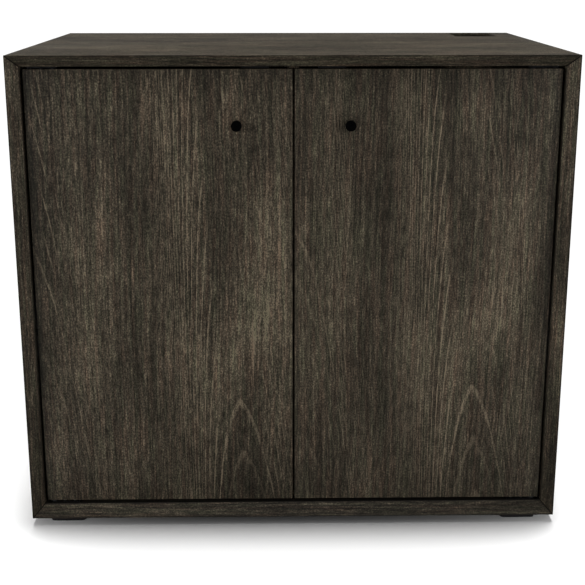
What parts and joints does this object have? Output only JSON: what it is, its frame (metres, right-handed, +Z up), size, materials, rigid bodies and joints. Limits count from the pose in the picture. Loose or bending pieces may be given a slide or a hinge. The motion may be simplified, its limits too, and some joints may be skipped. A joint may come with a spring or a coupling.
{
  "type": "aquarium stand cabinet",
  "caption": "Low box cabinet that carries an aquarium: mitred boards with bevelled front edges, inset doors on pin pivots, round knobs, square feet and a hose cut-out in the top.",
  "frame": {"origin": "on the floor, under the middle of the cabinet's footprint", "axes": "+X to the right seen from the front, +Y from the doors to the back, +Z up"},
  "size_m": [0.9, 0.6, 0.8],
  "materials": {
    "stained_wood": "dark stained veneer, satin",
    "bare_wood": "unfinished beech",
    "foot_plastic": "moulded, fine texture",
    "knob_metal": "satin black",
    "catch_plastic": "moulded",
    "magnet": "ground ferrite",
    "black_steel": "black zinc",
    "steel": "zinc plated",
    "nylon": "black nylon",
    "bumper_rubber": "soft"
  },
  "bodies": {
    "cabinet": {"top_board": "stained_wood", "bottom_board": "stained_wood", "left_side_board": "stained_wood", "right_side_board": "stained_wood", "mitre_splines": "bare_wood", "back_panel": "stained_wood", "back_panel_screws": "steel", "centre_partition": "stained_wood", "partition_dowels": "bare_wood", "adjustable_shelf": "stained_wood", "shelf_pins": "steel", "front_left_foot": "foot_plastic", "front_right_foot": "foot_plastic", "rear_left_foot": "foot_plastic", "rear_right_foot": "foot_plastic", "foot_screws": "steel", "left_catch_housing": "catch_plastic", "left_catch_magnet": "magnet", "left_catch_pole_plates": "steel", "right_catch_housing": "catch_plastic", "right_catch_magnet": "magnet", "right_catch_pole_plates": "steel", "catch_screws": "steel", "door_bumpers": "bumper_rubber", "lower_left_cabinet_plate": "black_steel", "upper_left_cabinet_plate": "black_steel", "lower_right_cabinet_plate": "black_steel", "upper_right_cabinet_plate": "black_steel", "cabinet_plate_screws": "steel", "lower_left_pivot_pin": "black_steel", "upper_left_pivot_pin": "black_steel", "lower_right_pivot_pin": "black_steel", "upper_right_pivot_pin": "black_steel", "left_thrust_washer": "nylon", "right_thrust_washer": "nylon"},
    "left_door": {"left_door": "stained_wood", "left_knob": "knob_metal", "left_knob_screw": "steel", "lower_left_door_plate": "black_steel", "upper_left_door_plate": "black_steel", "lower_left_bush": "nylon", "upper_left_bush": "nylon", "left_door_plate_screws": "steel", "left_strike_plate": "steel", "left_strike_screws": "steel"},
    "right_door": {"right_door": "stained_wood", "right_knob": "knob_metal", "right_knob_screw": "steel", "lower_right_door_plate": "black_steel", "upper_right_door_plate": "black_steel", "lower_right_bush": "nylon", "upper_right_bush": "nylon", "right_door_plate_screws": "steel", "right_strike_plate": "steel", "right_strike_screws": "steel"}
  },
  "joints": [
    {"name": "left_door_hinge", "type": "hinge", "parent": "cabinet", "child": "left_door", "pos_m": [-0.4165, -0.2715, 0.4075], "axis": [0, 0, -1], "range_deg": [0, 110]},
    {"name": "right_door_hinge", "type": "hinge", "parent": "cabinet", "child": "right_door", "pos_m": [0.4165, -0.2715, 0.4075], "axis": [0, 0, 1], "range_deg": [0, 110]}
  ]
}
